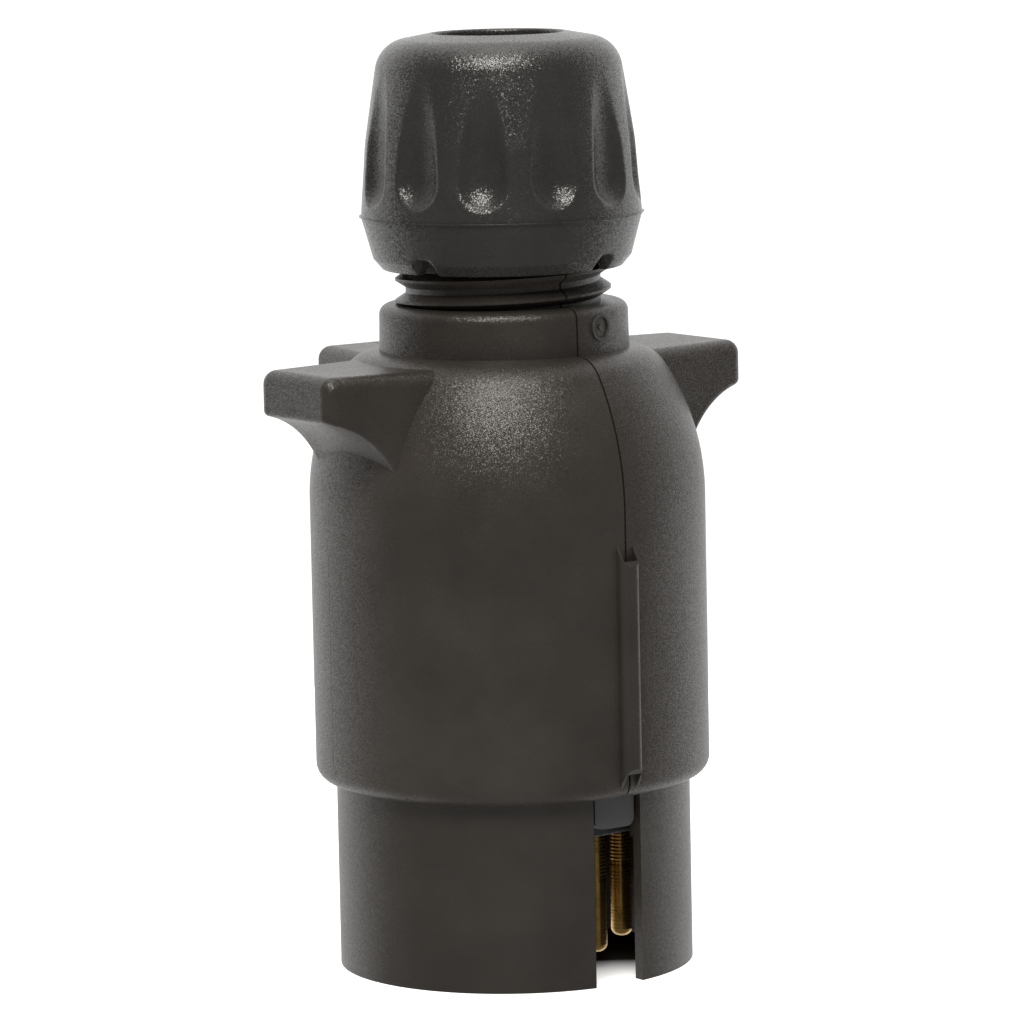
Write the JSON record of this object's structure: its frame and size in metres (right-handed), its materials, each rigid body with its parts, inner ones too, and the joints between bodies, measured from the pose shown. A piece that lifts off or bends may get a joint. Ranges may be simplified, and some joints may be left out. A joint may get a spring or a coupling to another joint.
{
  "type": "trailer wiring connector",
  "caption": "Round hinged-body trailer wiring plug with slotted locking skirt, brass pins, turning wings and a fluted cable gland nut.",
  "frame": {"origin": "on the plug's axis at the level of the skirt's bottom edge", "axes": "+Z along the axis towards the cable end; key slot, body seam and film hinge at -Y; wings at -X, +Y and +X"},
  "size_m": [0.0588, 0.0537, 0.1084],
  "materials": {
    "body_plastic": "fine spark-eroded grain",
    "hinge_plastic": "smooth satin",
    "skirt_plastic": "smooth satin",
    "nut_plastic": "coarse spark-eroded grain",
    "tongue_plastic": "smooth satin",
    "insert_plastic": "smooth satin",
    "contact_brass": "turned",
    "seal_rubber": "matt",
    "spring_steel": "drawn wire",
    "screw_steel": "plated"
  },
  "bodies": {
    "body": {"shell_left": "body_plastic", "shell_right": "body_plastic", "film_hinge": "hinge_plastic", "locking_skirt": "skirt_plastic", "face_seal": "seal_rubber", "retaining_ring": "insert_plastic", "gland_seal": "seal_rubber", "tongue_spring": "spring_steel"},
    "carrier": {"contact_carrier": "insert_plastic", "pin_retainer": "insert_plastic", "retainer_screws": "screw_steel", "terminal_screws": "screw_steel", "contact_pin_01": "contact_brass", "contact_pin_02": "contact_brass", "contact_pin_03": "contact_brass", "contact_pin_04": "contact_brass", "contact_pin_05": "contact_brass", "contact_pin_06": "contact_brass", "contact_pin_07": "contact_brass", "contact_pin_08": "contact_brass", "contact_pin_09": "contact_brass", "contact_pin_10": "contact_brass", "contact_pin_11": "contact_brass", "contact_pin_12": "contact_brass", "contact_pin_13": "contact_brass"},
    "tongue": {"lock_tongue": "tongue_plastic"},
    "slip_ring": {"slip_ring": "insert_plastic"},
    "nut": {"gland_nut": "nut_plastic"}
  },
  "joints": [
    {"name": "carrier_turn", "type": "hinge", "parent": "body", "child": "carrier", "pos_m": [0, 0, 0.0378], "axis": [0, 0, 1], "range_deg": [0, 90]},
    {"name": "tongue_press", "type": "slide", "parent": "body", "child": "tongue", "axis": [0, 0, 1], "range_m": [0, 0.0025], "stiffness_N_per_m": 250, "springref_m": -0.003, "deforming": ["tongue_spring"]},
    {"name": "nut_travel", "type": "slide", "parent": "body", "child": "slip_ring", "axis": [0, 0, 1], "range_m": [-0.0035, 0.0075]},
    {"name": "nut_turn", "type": "hinge", "parent": "slip_ring", "child": "nut", "pos_m": [0, 0, 0.0945], "axis": [0, 0, 1], "range_deg": [-505, 1081]}
  ],
  "couplings": [
    {"joint": "nut_turn", "follows": "nut_travel", "rad_per_m": 2513.3}
  ]
}
